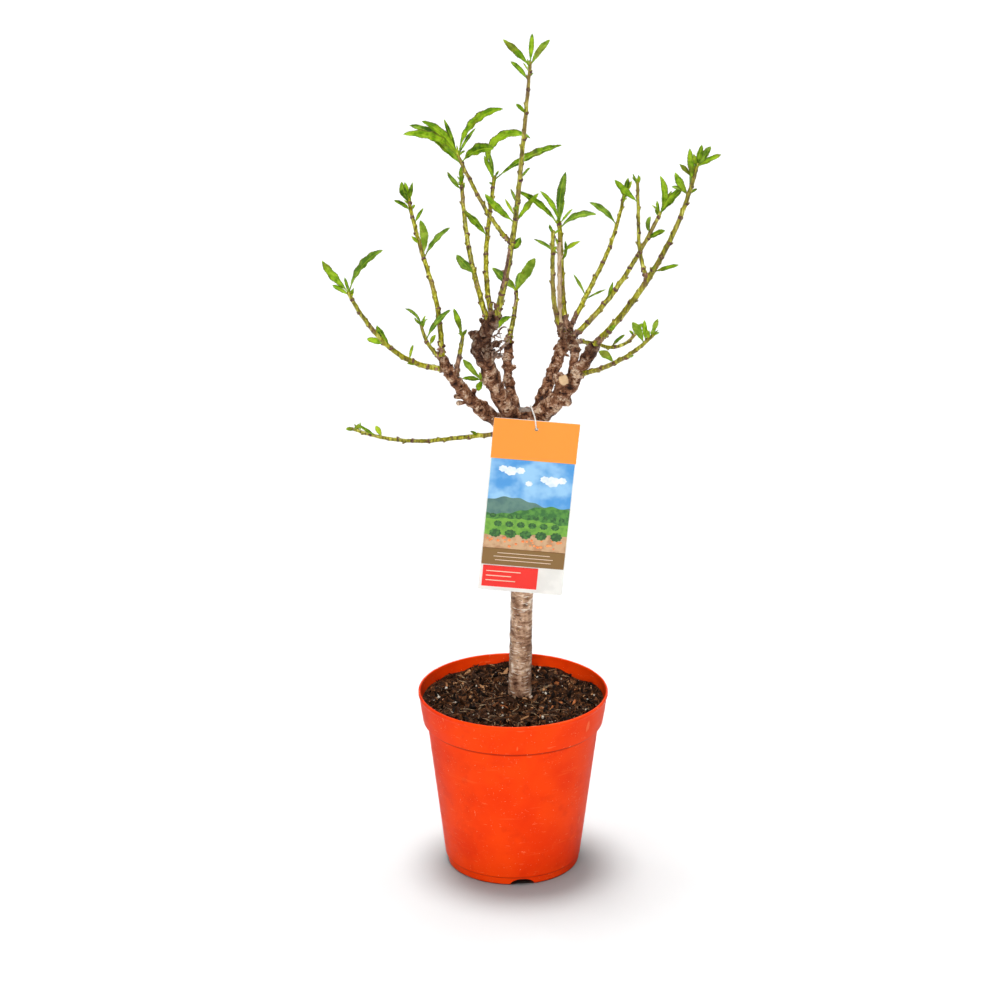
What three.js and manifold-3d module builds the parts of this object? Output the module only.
// A dwarf peach tree on a short trunk, growing in a plastic nursery pot, with a card label tied to a bough.
//
// Units are millimetres. +Z is up, +X is to the right and +Y is to the back. The origin is the middle of
// the pot's flat underside. A lean is an angle from upright and a heading is an angle in the ground plane,
// from +X towards +Y, both in degrees. Lists of leans, headings or radii run from a limb's foot to its tip.

import * as THREE from "three";
import Module from "manifold-3d";
import { mergeVertices } from "three/addons/utils/BufferGeometryUtils.js";

const wasm = await Module();
wasm.setup();

const CLEAR = 0.3; // between two pieces that touch

// The pot: a thin moulded wall with a deeper collar round its mouth.
const POT = {
  height: 197,
  rimRadius: 101.4,
  collarHeight: 34.5,
  collarFootRadius: 96.6,
  shoulderRadius: 92, // of the wall just under the collar
  footRadius: 72,
  wall: 1.5,
  lip: 2.4, // thickness of the rounded lip
  padRadius: 38, // the flat middle of the underside, which the pot stands on with its foot ring
  channelHeight: 3, // of the raised ring between that pad and the foot ring
  channelOuterRadius: 56,
  footRounding: 4,
  segments: 48,
};
const DRAIN = { count: 4, width: 26, height: 7, heading: -82 }; // arched slots through the foot ring

// The compost: flat round the trunk, lower in front, and uneven. A heap is [x, y, radius, rise].
const SOIL = {
  seatHeight: 185, seatRadius: 30, frontDrop: 4, roughness: 1.6, gap: 0.6, rings: 6,
  heaps: [[-4, 84, 16, 5], [71, 65, 16, -4]],
};

// The trunk, from its flat cut at ground level to the cut stump where the boughs leave it.
const TRUNK = {
  foot: new THREE.Vector3(7, 14, SOIL.seatHeight + CLEAR),
  length: 327,
  leans: [5, 0],
  headings: [-74, -74],
  radii: [12.4, 12.1, 12, 11.9, 11.8, 11.7, 11.7, 11.7, 11.8, 12, 12.6, 9.6],
  sides: 14,
  steps: 20,
  // The swollen head under the boughs: middle and radius of each swelling.
  swellings: [
    [-2, 0, 496, 11.5],
    [1, -5, 502, 9.5],
    [20, -1, 496, 12.5],
  ],
};

// The boughs: thick grey limbs. A spur is a cut side twig: [share along, heading, lean, length, radius].
const BOUGHS = {
  left_bough: {
    foot: [-6.5, 2, 492.5], length: 113, leans: [58, 41, 24], headings: [-158, -156, -155],
    radii: [8.4, 7, 7.4, 6, 6.6, 5.4, 6, 4.7],
    spurs: [
      [0.2, -150, 100, 9, 4.2], [0.3, 40, 25, 10, 3], [0.44, 60, 15, 13, 2.4], [0.5, 190, 82, 16, 1.9],
      [0.44, 195, 92, 17, 1.6],
    ],
  },
  front_bough: {
    foot: [3, -4, 499], length: 114, leans: [36, 29, 22], headings: [-147, -132, -116],
    radii: [9.4, 8.6, 9.2, 7.8, 8.8, 7.8, 10.4, 9],
    spurs: [
      [0.2, 185, 60, 12, 3.4], [0.88, 175, 28, 24, 4.4], [0.8, 20, 50, 12, 4], [0.35, 20, 12, 15, 1.7],
      [0.92, 12, 78, 18, 3],
    ],
  },
  front_spur: {
    from: "front_bough", share: 0.97, length: 38, leans: [28, 31, 34], headings: [-60, -32, -3],
    radii: [8.6, 7, 6.8, 4.8],
    spurs: [[0.45, 160, 25, 14, 2.2]],
  },
  back_bough: {
    foot: [7, 5, 500], length: 85, leans: [47, 38, 29], headings: [126, 102, 78],
    radii: [5.8, 5, 5.4, 4.4, 5, 4.2],
    spurs: [[0.45, 0, 55, 7, 2], [0.65, 0, 60, 10, 2.6]],
  },
  inner_right_bough: {
    foot: [18, 3, 496], length: 101, leans: [42, 34, 27], headings: [51, 48, 44],
    radii: [7, 6, 6.3, 5.7, 6.2, 5.4, 6],
    spurs: [[0.56, 195, 40, 8, 2.6], [0.6, -20, 50, 10, 2.6]],
  },
  outer_right_bough: {
    foot: [18, -3, 495], length: 119, leans: [45, 36, 28], headings: [-19, -22, -26],
    radii: [10, 9, 9.8, 8.4, 9, 6.6, 6.6, 5.2],
    spurs: [
      [0.3, -25, 74, 20, 4.4], [0.42, -150, 9, 23, 6], [0.62, -10, 80, 11, 2.6], [0.74, -130, 60, 9, 3],
    ],
  },
  crotch_bough: {
    from: "outer_right_bough", share: 0.55, length: 66, leans: [24, 59, 94], headings: [63, 85, 108],
    radii: [4.6, 4, 4.6, 3.8, 4.4],
    spurs: [[0.75, 160, 30, 8, 2]],
  },
};

// The young shoots. Each leaf is [share along its stem, heading, leans, length, width].
const SHOOTS = {
  low_left_shoot: {
    from: "trunk", share: 0.925, length: 192, leans: [101, 101.5, 72], headings: [162, 164, 168],
    radii: [2.8, 2.4, 2],
    leaves: [
      [0.85, -170, [60, 50], 24, 4], [0.82, 150, [35, 35], 14, 6.5], [0.97, 180, [85, 80], 11, 6],
      [0.26, -165, [60, 60], 11, 4],
    ],
  },
  far_left_shoot: {
    from: "left_bough", share: 0.86, length: 150, leans: [83.5, 43, 27], headings: [-165, -157, -139],
    radii: [3.2, 2.7, 2.1],
    leaves: [
      [0.99, -20, [15, 62], 63, 9.5], [0.99, -165, [38, 36], 44, 11], [0.97, 125, [30, 30], 19, 4],
      [0.97, 150, [65, 75], 22, 5.5], [0.46, -150, [35, 25], 30, 9], [0.5, 150, [85, 85], 23, 8.5],
      [0.29, 45, [20, 20], 16, 4], [0.22, -150, [80, 80], 13, 4],
    ],
  },
  small_left_shoot: {
    from: "left_bough", share: 0.96, length: 45, leans: [52, 36, 20], headings: [186, 150, 125],
    radii: [2.4, 2.1, 1.7],
    leaves: [
      [0.96, 165, [15, 75], 25, 4], [0.97, -150, [40, 40], 12, 3.5], [0.86, 55, [20, 20], 12, 4],
      [0.62, 20, [25, 60], 40, 7.5], [0.47, -15, [30, 30], 14, 5],
    ],
  },
  tall_left_shoot: {
    from: "left_bough", share: 1, length: 174, leans: [25, 38, 30], headings: [92, 120, 115],
    radii: [3.2, 2.7, 2.4, 2],
    leaves: [
      [0.96, -155, [32, 6], 25, 9], [0.98, 115, [30, 30], 19, 5], [0.98, 0, [20, 8], 19, 5.5],
      [0.97, 70, [40, 40], 17, 4], [0.91, -155, [45, 65], 23, 5.5], [0.91, 60, [55, 55], 9, 3.5],
      [0.83, 40, [35, 45], 19, 4], [0.63, -30, [20, -28], 38, 10], [0.61, -25, [28, 52], 47, 7],
      [0.7, 180, [45, 45], 12, 4],
    ],
  },
  inner_left_shoot: {
    from: "left_bough", share: 0.72, length: 53, leans: [13, 51, 45], headings: [68, 78, 81],
    radii: [3, 2.6, 2],
    leaves: [[0.97, 155, [20, 20], 30, 6.5], [0.95, 0, [30, 30], 9, 4]],
  },
  inner_front_shoot: {
    from: "front_spur", share: 0.6, length: 171, leans: [29, 52, 38], headings: [123, 101, 95],
    radii: [3.2, 2.7, 2.1],
    leaves: [
      [0.34, -155, [42, 40], 30, 11], [0.93, 150, [55, 55], 18, 4], [0.96, -150, [60, 30], 24, 5.5],
      [0.97, -95, [15, 15], 21, 5.5],
    ],
  },
  middle_front_shoot: {
    from: "front_spur", share: 0.8, length: 154, leans: [28, 37, 24], headings: [115, 84, 70],
    radii: [3.1, 2.6, 2.1],
    leaves: [
      [0.58, -160, [30, 50], 39, 9], [0.97, -20, [-38, 118], 84, 10], [0.97, 115, [25, 25], 29, 4.5],
      [0.98, -150, [25, 25], 28, 5], [0.97, 20, [55, 80], 80, 9.5],
    ],
  },
  leader_shoot: {
    from: "front_spur", share: 1, length: 287, leans: [22, 17, 13], headings: [-54, -74, -71],
    radii: [3.9, 3.2, 2.7, 2.3, 1.7],
    fork: { share: 0.3, length: 106, leans: [43, 35, 33], headings: [171, 145, 142], radii: [2.4, 1.9] },
    leaves: [
      [0.385, -160, [46, 42], 45, 9], [0.41, 140, [40, 40], 21, 3.5], [0.41, -85, [30, 30], 15, 6],
      [0.385, -15, [36, 38], 40, 8], [0.275, -25, [42, 30], 18, 8.5], [0.56, -15, [40, 40], 16, 3.5],
      [0.81, -165, [45, 45], 14, 5.5], [0.46, 140, [30, 30], 17, 3.5], [0.98, -150, [35, 55], 42, 8],
      [0.98, -30, [25, 50], 36, 7], [0.99, 80, [15, 35], 30, 6], [0.93, 150, [40, 60], 26, 6],
    ],
    forkLeaves: [
      [0.97, -155, [38, 92], 67, 10], [0.98, 170, [40, 80], 57, 8.5], [0.98, -170, [25, 65], 51, 9],
      [0.98, 135, [30, 30], 38, 5], [0.96, -20, [5, 80], 76, 10], [0.97, 35, [35, 45], 33, 4.5],
      [0.86, 165, [44, 54], 45, 10], [0.9, -30, [38, 90], 43, 13], [0.96, 115, [60, 60], 27, 6.5],
    ],
  },
  back_shoot: {
    from: "back_bough", share: 1, length: 64, leans: [45, 43, 47], headings: [76, 75, 92],
    radii: [3, 2.6, 2],
    leaves: [
      [0.97, -25, [30, 28], 44, 12], [0.98, 25, [40, 40], 23, 3], [0.97, 180, [45, 45], 36, 11.5],
      [0.56, -150, [70, 140], 21, 6.5], [0.97, 125, [55, 55], 18, 4.5], [0.9, 80, [50, 70], 34, 7],
    ],
  },
  inner_right_shoot: {
    from: "inner_right_bough", share: 0.9, length: 132, leans: [16, 14, 16], headings: [-184, -96, -88],
    radii: [3, 2.6, 2.3],
    fork: { share: 0.12, length: 94, leans: [3, 2], headings: [-110, -110], radii: [2.6, 2.2] },
    leaves: [[0.97, -120, [25, 40], 14, 4], [0.8, -60, [30, 50], 12, 3.5]],
    forkLeaves: [],
  },
  upright_right_shoot: {
    from: "inner_right_bough", share: 1, length: 120, leans: [23, 28, 27], headings: [114, 92, 98],
    radii: [3.6, 3.3, 2.6],
    leaves: [
      [0.97, -55, [-6, 26], 60, 10], [0.98, 165, [14, 50], 40, 6], [0.96, -170, [36, 62], 60, 8.5],
      [0.93, -15, [35, 95], 45, 8.5], [0.97, 35, [50, 50], 22, 3.5], [0.69, 180, [50, 65], 34, 4.5],
      [0.71, -10, [45, 65], 25, 5.5], [0.96, 80, [40, 70], 36, 7], [0.64, -10, [42, -22], 24, 4.5],
    ],
  },
  back_right_shoot: {
    from: "inner_right_bough", share: 1, length: 166, leans: [33, 48, 25], headings: [38, 56, 65],
    radii: [3, 2.5, 1.8],
    leaves: [
      [0.79, -170, [32, 65], 40, 7.5], [0.97, -35, [16, 12], 24, 7], [0.97, 40, [35, 35], 21, 5],
      [0.27, -155, [30, 30], 29, 4], [0.24, -20, [55, 65], 28, 3], [0.95, 75, [55, 80], 24, 6.5],
    ],
  },
  middle_right_shoot: {
    from: "crotch_bough", share: 1, length: 163, leans: [50, 33.5, 26.5], headings: [13, 8, 21],
    radii: [3.3, 2.8, 2],
    leaves: [
      [0.97, -5, [30, 50], 37, 11], [0.97, -20, [30, -28], 44, 8], [0.97, 105, [25, 25], 16, 3.5],
      [0.98, 45, [40, 40], 28, 5.5], [0.82, -25, [65, 65], 21, 7.5], [0.81, 30, [80, 80], 14, 3.5],
      [0.98, -35, [30, 40], 37, 5.5], [0.34, -45, [20, 20], 23, 4], [0.85, -140, [42, -38], 19, 6],
    ],
  },
  far_right_shoot: {
    from: "outer_right_bough", share: 1, length: 227, leans: [42.5, 28.5, 12.5], headings: [-24, -20, -27],
    radii: [3.8, 3, 2.1],
    fork: { share: 0.405, length: 102, leans: [21, 1, 3], headings: [172, 181, 186], radii: [2.3, 1.7] },
    leaves: [
      [0.98, -15, [58, 62], 28, 6.5], [0.98, -20, [38, 28], 26, 9], [0.98, -40, [12, 16], 24, 7],
      [0.98, -110, [35, 35], 19, 5.5], [0.91, -115, [15, 15], 37, 7.5], [0.93, -165, [50, 42], 21, 6],
      [0.86, 70, [20, 20], 32, 5], [0.84, -155, [30, 30], 30, 8.5], [0.85, 30, [65, 65], 11, 3.5],
      [0.85, 160, [55, 85], 19, 4.5], [0.45, -20, [70, 70], 29, 5.5], [0.41, -45, [30, 30], 18, 5],
      [0.08, -50, [50, 50], 18, 5.5], [0.97, 60, [60, 80], 30, 6],
    ],
    forkLeaves: [
      [0.79, -160, [45, 45], 36, 9], [0.97, -155, [25, 25], 13, 2.5], [0.96, 55, [25, 25], 10, 3],
    ],
  },
  low_right_shoot: {
    from: "outer_right_bough", share: 0.66, length: 124, leans: [72, 59, 44], headings: [-43, -48, -39],
    radii: [2.9, 2.5, 1.9],
    leaves: [
      [0.47, -155, [45, 55], 23, 9.5], [0.57, 35, [85, 85], 15, 4.5], [0.87, -150, [30, 30], 28, 9.5],
      [0.89, 105, [15, 15], 22, 5.5], [0.93, -105, [30, 30], 14, 5.5], [0.97, -35, [20, 20], 21, 6],
      [0.98, 40, [70, 90], 10, 3],
    ],
  },
  back_low_shoot: {
    from: "crotch_bough", share: 0.85, length: 92, leans: [100, 113, 45], headings: [54, 28, 39],
    radii: [2.5, 2.2, 1.8],
    leaves: [[0.6, -15, [40, 50], 21, 4.5], [0.97, 55, [55, 60], 16, 5], [0.97, -60, [40, 60], 14, 4.5]],
  },
  front_tuft: {
    from: "front_bough", share: 0.5, length: 15, leans: [75, 70, 65], headings: [-170, -172, -175],
    radii: [2.4, 1.8],
    leaves: [
      [0.95, -150, [45, 35], 32, 7.5], [0.9, -160, [75, 85], 21, 6], [0.85, -120, [125, 150], 13, 7],
      [0.9, 150, [60, 55], 10, 3],
    ],
  },
};

const STEM_SIDES = 6;
const STEM_STEP = 20; // length of stem to one ring of faces
// Buds are spaced up each stem and turn by a leaf's share from one to the next.
const BUD = { spacing: 36, length: 4.2, radius: 1.5, turn: 137.5 };
const LEAF = {
  thickness: 0.9,
  petiole: 1,
  fold: 0.4, // how far its edges rise, as a share of their distance from the midrib
  light: new THREE.Vector3(0, -0.94, 0.34), // the side that the leaves turn their upper faces to
  turn: 0.8, // how far they turn there from lying level, from 0 to 1
  stepLength: 22,
};

// The label: a card hung from a bough by an elastic loop through its hole.
const LABEL = {
  width: 89, height: 198, thickness: 0.6, cornerRadius: 1.5, holeRadius: 2, holeFromTop: 9.7,
  hole: new THREE.Vector3(23.5, -24.5, 498), // where the middle of the hole is
  slant: -5.1, // turned in its own plane
  tilt: 5.45, // its top further forward than its bottom
};
const TIE_RADIUS = 0.75;
// The loop goes forwards through the hole, over the card's top edge and across the stump, where it rests,
// and comes back round under the two right boughs.
const TIE_ROUTE = [
  [23.5, -22.3, 498], [23.5, -24.8, 498], [23.3, -27.2, 499.2], [22.8, -28.3, 504], [22, -26, 510.4],
  [20.5, -15, 512], [18.8, -5, 513.9], [17.8, 4, 513.9], [18, 14, 510], [22, 23, 506], [29, 25.5, 498],
  [36, 17, 490], [37, 0, 485], [33, -13, 487], [26.5, -19, 494.5],
];

const rad = THREE.MathUtils.degToRad;
const lerp = THREE.MathUtils.lerp;

// A number from an evenly spaced list, at a share of the way through it.
function along(list, share) {
  const place = THREE.MathUtils.clamp(share, 0, 1) * (list.length - 1);
  const first = Math.min(Math.floor(place), list.length - 2);
  return lerp(list[first], list[first + 1], place - first);
}

// Repeatable random numbers from 0 to 1.
function randomFrom(seed) {
  let state = seed;
  return () => {
    state = (state + 0x6d2b79f5) | 0;
    let t = Math.imul(state ^ (state >>> 15), 1 | state);
    t = (t + Math.imul(t ^ (t >>> 7), 61 | t)) ^ t;
    return ((t ^ (t >>> 14)) >>> 0) / 4294967296;
  };
}

// A smooth unevenness from -1 to 1 over space, for bark and soil.
function ripple(x, y, z) {
  return (Math.sin(x * 1.7 + 2.1 * y) + Math.sin(y * 1.3 - 1.9 * z) + Math.sin(z * 1.5 + 2.3 * x)) / 3;
}

function direction(lean, heading) {
  const out = Math.sin(rad(lean));
  return new THREE.Vector3(out * Math.cos(rad(heading)), out * Math.sin(rad(heading)), Math.cos(rad(lean)));
}

// The centreline of a limb or a leaf, which turns evenly through its leans and headings as it grows.
function growthLine(foot, length, leans, headings) {
  const pieces = 16;
  const points = [foot.clone()];
  for (let i = 0; i < pieces; i++) {
    const share = (i + 0.5) / pieces;
    const step = direction(along(leans, share), along(headings, share)).multiplyScalar(length / pieces);
    points.push(points[i].clone().add(step));
  }
  return new THREE.CatmullRomCurve3(points);
}

// A closed tube: a cylinder whose rings are moved along a line. halfWidth and halfThickness give its
// section at a share of the way, side gives the direction of its width, fold lifts a blade's edges and
// extend moves both ends outwards.
function tubeAlong(line, sides, steps, { halfWidth, halfThickness = halfWidth, side, fold = 0, extend = 0 }) {
  const geometry = new THREE.CylinderGeometry(1, 1, 1, sides, steps);
  const frames = line.computeFrenetFrames(steps);
  const position = geometry.attributes.position;
  const vertex = new THREE.Vector3();
  for (let i = 0; i < position.count; i++) {
    vertex.fromBufferAttribute(position, i);
    const share = vertex.y + 0.5;
    const ring = Math.round(share * steps);
    const tangent = frames.tangents[ring];
    const across = (side || frames.normals[ring]).clone().projectOnPlane(tangent).normalize();
    const up = across.clone().cross(tangent);
    const width = halfWidth(share);
    const rise = vertex.z * halfThickness(share) + Math.abs(vertex.x) * fold * width;
    const point = line.getPointAt(share);
    point.addScaledVector(across, vertex.x * width).addScaledVector(up, rise);
    if (ring === 0) point.addScaledVector(tangent, -extend);
    if (ring === steps) point.addScaledVector(tangent, extend);
    position.setXYZ(i, point.x, point.y, point.z);
  }
  return solidFrom(geometry);
}

// A three.js geometry as a manifold-3d solid, and back.
function solidFrom(geometry) {
  const bare = geometry.clone();
  bare.deleteAttribute("normal");
  bare.deleteAttribute("uv");
  const merged = mergeVertices(bare, 1e-3);
  return new wasm.Manifold(
    new wasm.Mesh({
      numProp: 3,
      vertProperties: new Float32Array(merged.attributes.position.array),
      triVerts: new Uint32Array(merged.index.array),
    }),
  );
}

function geometryFrom(solid) {
  const mesh = solid.getMesh();
  const geometry = new THREE.BufferGeometry();
  geometry.setAttribute("position", new THREE.BufferAttribute(new Float32Array(mesh.vertProperties), 3));
  geometry.setIndex(new THREE.BufferAttribute(new Uint32Array(mesh.triVerts), 1));
  geometry.computeVertexNormals();
  return geometry;
}

function joined(solids) {
  return solids.reduce((whole, piece) => whole.add(piece));
}

function largestBody(solid) {
  return solid.decompose().sort((a, b) => b.volume() - a.volume())[0];
}

// ---- pot and compost ----

function potSolid() {
  const { height, wall, lip, channelHeight, footRadius, footRounding } = POT;
  const collarFoot = height - POT.collarHeight;
  const slope = (POT.shoulderRadius - footRadius) / collarFoot;
  const outer = [
    [0, 0],
    [POT.padRadius, 0],
    [POT.padRadius + channelHeight, channelHeight],
    [POT.channelOuterRadius, channelHeight],
    [POT.channelOuterRadius + channelHeight, 0],
    [footRadius - footRounding, 0],
    [footRadius + slope * footRounding, footRounding],
    [POT.shoulderRadius, collarFoot],
    [POT.collarFootRadius - 1, collarFoot],
    [POT.collarFootRadius, collarFoot + 1.2],
    [POT.rimRadius, height - 2.6],
    [POT.rimRadius, height - 0.8],
    [POT.rimRadius - 0.6, height],
  ];
  const inner = [
    [POT.rimRadius - lip + 0.5, height],
    [POT.rimRadius - lip, height - 3.5],
    [POT.collarFootRadius - wall, collarFoot + wall],
    [POT.shoulderRadius - wall, collarFoot + wall],
    [footRadius - wall + slope * footRounding, footRounding],
    [footRadius - footRounding, wall],
    [POT.channelOuterRadius + channelHeight + wall, wall],
    [POT.channelOuterRadius + wall / 2, channelHeight + wall],
    [POT.padRadius + channelHeight - wall / 2, channelHeight + wall],
    [POT.padRadius - wall / 2, wall],
    [0, wall],
  ];
  const profile = [...outer, ...inner].map(([r, z]) => new THREE.Vector2(r, z));
  let pot = solidFrom(new THREE.LatheGeometry(profile, POT.segments).rotateX(Math.PI / 2));
  const half = DRAIN.width / 2;
  for (let i = 0; i < DRAIN.count; i++) {
    const arch = new THREE.CylinderGeometry(half, half, footRadius - POT.channelOuterRadius, 20)
      .rotateZ(Math.PI / 2)
      .scale(1, 1, DRAIN.height / half)
      .translate(footRadius - 4, 0, 0)
      .rotateZ(rad(DRAIN.heading + (360 / DRAIN.count) * i));
    pot = pot.subtract(solidFrom(arch));
  }
  return pot;
}

// Height of the compost at a place in the pot.
function soilHeight(x, y) {
  const fromTrunk = Math.hypot(x - TRUNK.foot.x, y - TRUNK.foot.y);
  const away = THREE.MathUtils.smoothstep(fromTrunk, SOIL.seatRadius, 2 * SOIL.seatRadius);
  let rise = (SOIL.frontDrop * Math.min(y, 0)) / POT.rimRadius + SOIL.roughness * ripple(x / 14, y / 14, 0.5);
  for (const [heapX, heapY, radius, height] of SOIL.heaps) {
    rise += height * Math.exp(-((x - heapX) ** 2 + (y - heapY) ** 2) / radius ** 2);
  }
  return SOIL.seatHeight + away * rise;
}

// Radius of the compost against the collar's inside, at a height.
function soilEdge(z) {
  const foot = POT.collarFootRadius - POT.wall;
  const mouth = POT.rimRadius - POT.lip;
  const rise = (z - POT.height + POT.collarHeight - POT.wall) / (POT.collarHeight - 5);
  return lerp(foot, mouth, rise) - SOIL.gap;
}

function soilSolid() {
  const shelf = POT.height - POT.collarHeight + POT.wall + SOIL.gap;
  const bottom = POT.channelHeight + POT.wall + SOIL.gap;
  const profile = [
    [0, bottom],
    [POT.footRadius - POT.wall - SOIL.gap, bottom],
    [POT.shoulderRadius - POT.wall - SOIL.gap, shelf],
    [soilEdge(shelf), shelf],
  ];
  for (let ring = 0; ring <= SOIL.rings; ring++) {
    profile.push([soilEdge(SOIL.seatHeight) * (1 - ring / SOIL.rings), SOIL.seatHeight]);
  }
  const points = profile.map(([r, z]) => new THREE.Vector2(r, z));
  const geometry = new THREE.LatheGeometry(points, POT.segments).rotateX(Math.PI / 2);
  const position = geometry.attributes.position;
  for (let i = 0; i < position.count; i++) {
    if (position.getZ(i) < SOIL.seatHeight - 1) continue;
    const x = position.getX(i);
    const y = position.getY(i);
    const z = soilHeight(x, y);
    const spread = soilEdge(z) / soilEdge(SOIL.seatHeight);
    position.setXYZ(i, x * spread, y * spread, z);
  }
  return solidFrom(geometry);
}

// ---- wood ----

// A limb with its cut spurs. grow is added to every radius, for cutting a neighbour clear of it.
function limbSolid(limb, grow = 0) {
  const { line, radii, sides, steps, spurs = [], swellings = [] } = limb;
  const halfWidth = (share) => {
    const at = line.getPointAt(share);
    return along(radii, share) * (1 + 0.05 * ripple(at.x / 3, at.y / 3, at.z / 4)) + grow;
  };
  const pieces = [tubeAlong(line, sides, steps, { halfWidth, extend: grow })];
  for (const [share, heading, lean, length, radius] of spurs) {
    const twig = growthLine(line.getPointAt(share), length, [lean, lean], [heading, heading]);
    const taper = (part) => radius * lerp(1.15, 0.85, part) + grow;
    pieces.push(tubeAlong(twig, 7, 1, { halfWidth: taper, extend: grow }));
  }
  for (const [x, y, z, radius] of swellings) {
    const ball = new THREE.IcosahedronGeometry(radius + grow, 1);
    pieces.push(solidFrom(ball.translate(x, y, z)));
  }
  return joined(pieces);
}

// ---- shoots ----

// Half the width of a leaf: a thin petiole, widest before its middle, drawn out to a fine tip.
function leafHalfWidth(share, width) {
  const blade = THREE.MathUtils.clamp((share - 0.12) / 0.88, 0, 1);
  return Math.max(LEAF.petiole / 2, (width / 2) * Math.sin(Math.PI * blade ** 0.85) ** 0.7);
}

function leafLine(stem, [share, heading, leans, length]) {
  return growthLine(stem.getPointAt(share), length, leans, [heading, heading]);
}

// The direction of a leaf's width: level across its heading, then turned on its stalk towards the light.
function leafSide(midrib, heading) {
  const tangent = midrib.getTangentAt(0.5);
  const level = direction(90, heading - 90);
  const upperFace = level.clone().cross(tangent);
  const lit = LEAF.light.clone().projectOnPlane(tangent).normalize();
  if (lit.dot(upperFace) < 0) lit.negate();
  return level.lerp(tangent.clone().cross(lit), LEAF.turn).normalize();
}

function leafSolid(stem, leaf) {
  const [, heading, , length, width] = leaf;
  const midrib = leafLine(stem, leaf);
  const halfThickness = Math.max(LEAF.thickness, length / 75) / 2;
  const tip = 0.3;
  return tubeAlong(midrib, 4, Math.ceil(length / LEAF.stepLength) + 1, {
    halfWidth: (share) => (share > 0.99 ? tip : leafHalfWidth(share, width)),
    halfThickness: (share) => (share > 0.99 ? tip : halfThickness),
    side: leafSide(midrib, heading),
    fold: LEAF.fold,
  });
}

// A bud on a stem's side, pressed to it and pointing up it.
function budSolid(line, share, heading, radius) {
  const tangent = line.getTangentAt(share);
  const out = direction(90, heading);
  out.addScaledVector(tangent, -out.dot(tangent)).normalize();
  const bud = new THREE.OctahedronGeometry(BUD.radius).scale(1, BUD.length / 2 / BUD.radius, 1);
  bud.applyQuaternion(new THREE.Quaternion().setFromUnitVectors(new THREE.Vector3(0, 1, 0), tangent));
  const place = line.getPointAt(share).addScaledVector(out, radius);
  return solidFrom(bud.translate(place.x, place.y, place.z));
}

function stemPieces(stem, random) {
  const { line, radii, sides, steps } = stem;
  const pieces = [tubeAlong(line, sides, steps, { halfWidth: (share) => along(radii, share) })];
  const count = Math.floor(line.getLength() / BUD.spacing);
  let heading = random() * 360;
  for (let i = 1; i < count; i++) {
    const share = (i + 0.3 * (random() - 0.5)) / count;
    heading += BUD.turn;
    pieces.push(budSolid(line, share, heading, along(radii, share)));
  }
  return pieces;
}

// ---- keeping to its own space ----

// Round places that the limbs and leaves made so far take up.
const taken = [];

function take(owner, line, halfWidth, from = 0) {
  const places = Math.ceil(line.getLength() / 4);
  for (let i = Math.ceil(from * places); i <= places; i++) {
    taken.push({ owner, point: line.getPointAt(i / places), radius: halfWidth(i / places) });
  }
}

// Whether a leaf would come within reach of another piece's limb or leaf.
function touches(owner, line, width) {
  const places = 8;
  for (let i = 3; i <= places; i++) {
    const point = line.getPointAt(i / places);
    const radius = leafHalfWidth(i / places, width);
    const close = (other) => other.point.distanceTo(point) < other.radius + radius + 1;
    if (taken.some((other) => other.owner !== owner && close(other))) {
      return true;
    }
  }
  return false;
}

// ---- putting the tree together ----

function material(color, roughness, metalness = 0) {
  return new THREE.MeshStandardMaterial({ color, roughness, metalness });
}
const potPlastic = material(0xf4441c, 0.42);
const compost = material(0x2e2119, 0.95);
const trunkBark = material(0x8a6f5e, 0.85);
const boughBark = material(0x77594b, 0.85);
const youngShoot = material(0x86a52c, 0.6);
const labelCard = material(0xf39a35, 0.45);
const tieElastic = material(0xeceae6, 0.6);

const tree = new THREE.Group();
function addPiece(name, solid, look) {
  const mesh = new THREE.Mesh(geometryFrom(solid), look);
  mesh.name = name;
  tree.add(mesh);
}

addPiece("pot", potSolid(), potPlastic);
addPiece("soil", soilSolid(), compost);

// Every limb is cut clear of those that were made before it.
const limbs = {};
const cutters = {};
function cutClear(solid, others) {
  for (const other of others) solid = solid.subtract(cutters[other]);
  return largestBody(solid);
}

limbs.trunk = {
  line: growthLine(TRUNK.foot, TRUNK.length, TRUNK.leans, TRUNK.headings),
  radii: TRUNK.radii,
  sides: TRUNK.sides,
  steps: TRUNK.steps,
  swellings: TRUNK.swellings,
};
const belowGround = new THREE.BoxGeometry(60, 60, 20);
belowGround.translate(TRUNK.foot.x, TRUNK.foot.y, TRUNK.foot.z - 10);
addPiece("trunk", limbSolid(limbs.trunk).subtract(solidFrom(belowGround)), trunkBark);
cutters.trunk = limbSolid(limbs.trunk, CLEAR);
take("trunk", limbs.trunk.line, (share) => along(TRUNK.radii, share));

for (const [name, size] of Object.entries(BOUGHS)) {
  const foot = size.from ? limbs[size.from].line.getPointAt(size.share) : new THREE.Vector3(...size.foot);
  const line = growthLine(foot, size.length, size.leans, size.headings);
  const steps = Math.round(size.length / 10);
  limbs[name] = { line, radii: size.radii, sides: 11, steps, spurs: size.spurs };
  addPiece(name, cutClear(limbSolid(limbs[name]), Object.keys(cutters)), boughBark);
  cutters[name] = limbSolid(limbs[name], CLEAR);
  take(name, line, (share) => along(size.radii, share));
}

function stemFrom(foot, size) {
  const line = growthLine(foot, size.length, size.leans, size.headings);
  const steps = Math.max(4, Math.round(size.length / STEM_STEP));
  return { line, radii: size.radii, sides: STEM_SIDES, steps };
}

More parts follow.
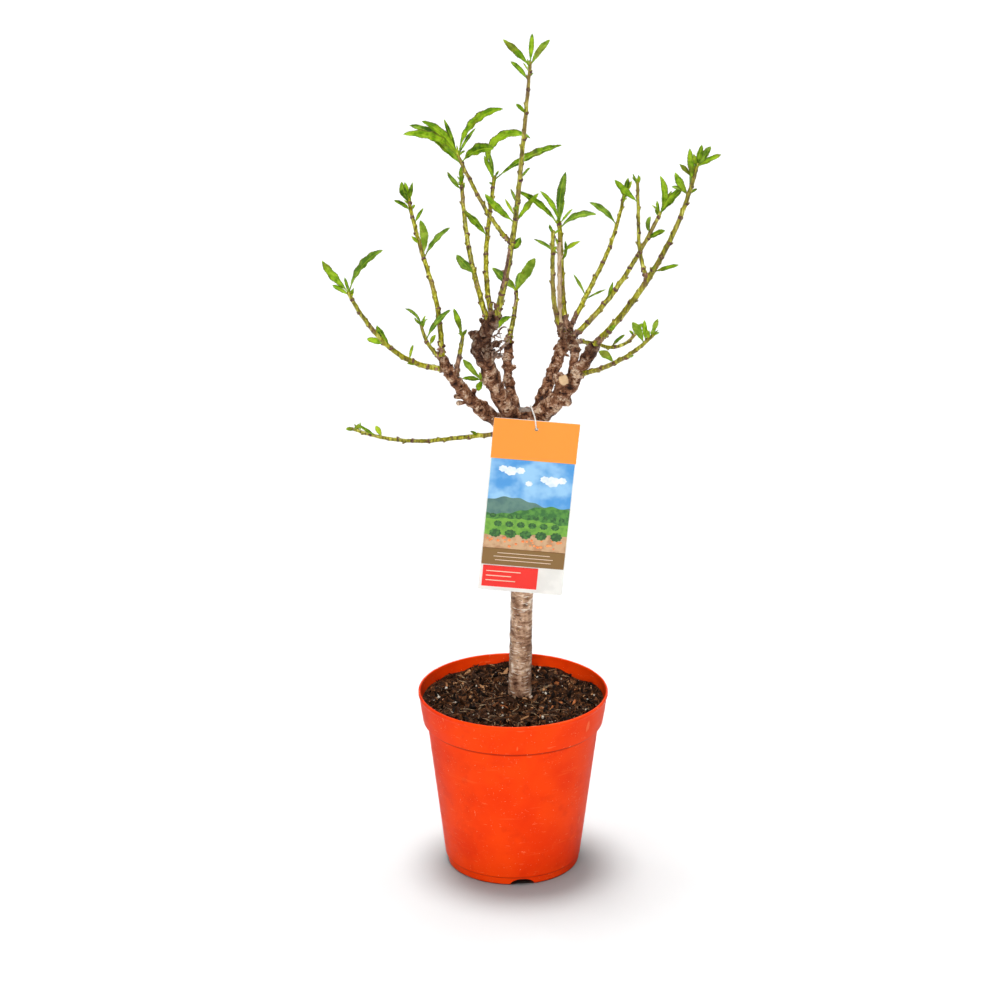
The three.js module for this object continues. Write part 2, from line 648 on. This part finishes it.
const stems = {};
for (const [name, size] of Object.entries(SHOOTS)) {
  const stem = stemFrom(limbs[size.from].line.getPointAt(size.share), size);
  const fork = size.fork && stemFrom(stem.line.getPointAt(size.fork.share), size.fork);
  stems[name] = { stem, fork };
  for (const one of [stem, fork]) {
    if (one) take(name, one.line, (share) => along(one.radii, share), 0.1);
  }
}

let seed = 1;
for (const [name, size] of Object.entries(SHOOTS)) {
  const { stem, fork } = stems[name];
  const random = randomFrom(seed++);
  const pieces = stemPieces(stem, random);
  if (fork) pieces.push(...stemPieces(fork, random));
  const leaves = size.leaves.map((leaf) => [stem.line, leaf]);
  if (fork) leaves.push(...size.forkLeaves.map((leaf) => [fork.line, leaf]));
  for (const [line, leaf] of leaves) {
    const midrib = leafLine(line, leaf);
    if (touches(name, midrib, leaf[4])) continue;
    pieces.push(leafSolid(line, leaf));
    take(name, midrib, (share) => leafHalfWidth(share, leaf[4]), 0.3);
  }
  addPiece(name, cutClear(joined(pieces), Object.keys(cutters)), youngShoot);
  cutters[name] = joined(
    [stem, fork].filter(Boolean).map(({ line, radii, sides, steps }) =>
      tubeAlong(line, sides, steps, { halfWidth: (share) => along(radii, share) + CLEAR, extend: CLEAR }),
    ),
  );
}

// ---- label and tie ----

const labelShape = new THREE.Shape();
const halfCard = LABEL.width / 2;
const corner = LABEL.cornerRadius;
const top = LABEL.holeFromTop;
const bottom = top - LABEL.height;
labelShape.moveTo(-halfCard + corner, bottom);
labelShape.lineTo(halfCard - corner, bottom);
labelShape.absarc(halfCard - corner, bottom + corner, corner, -Math.PI / 2, 0);
labelShape.absarc(halfCard - corner, top - corner, corner, 0, Math.PI / 2);
labelShape.absarc(-halfCard + corner, top - corner, corner, Math.PI / 2, Math.PI);
labelShape.absarc(-halfCard + corner, bottom + corner, corner, Math.PI, 1.5 * Math.PI);
labelShape.holes.push(new THREE.Path().absarc(0, 0, LABEL.holeRadius, 0, 2 * Math.PI, true));
const cardSettings = { depth: LABEL.thickness, bevelEnabled: false, curveSegments: 4 };
const card = new THREE.ExtrudeGeometry(labelShape, cardSettings);
card.rotateZ(rad(LABEL.slant)).rotateX(Math.PI / 2 + rad(LABEL.tilt));
card.translate(LABEL.hole.x, LABEL.hole.y, LABEL.hole.z);
addPiece("label", solidFrom(card), labelCard);

const tieLine = new THREE.CatmullRomCurve3(TIE_ROUTE.map((place) => new THREE.Vector3(...place)), true);
addPiece("label_tie", solidFrom(new THREE.TubeGeometry(tieLine, 48, TIE_RADIUS, 5, true)), tieElastic);

export default tree;
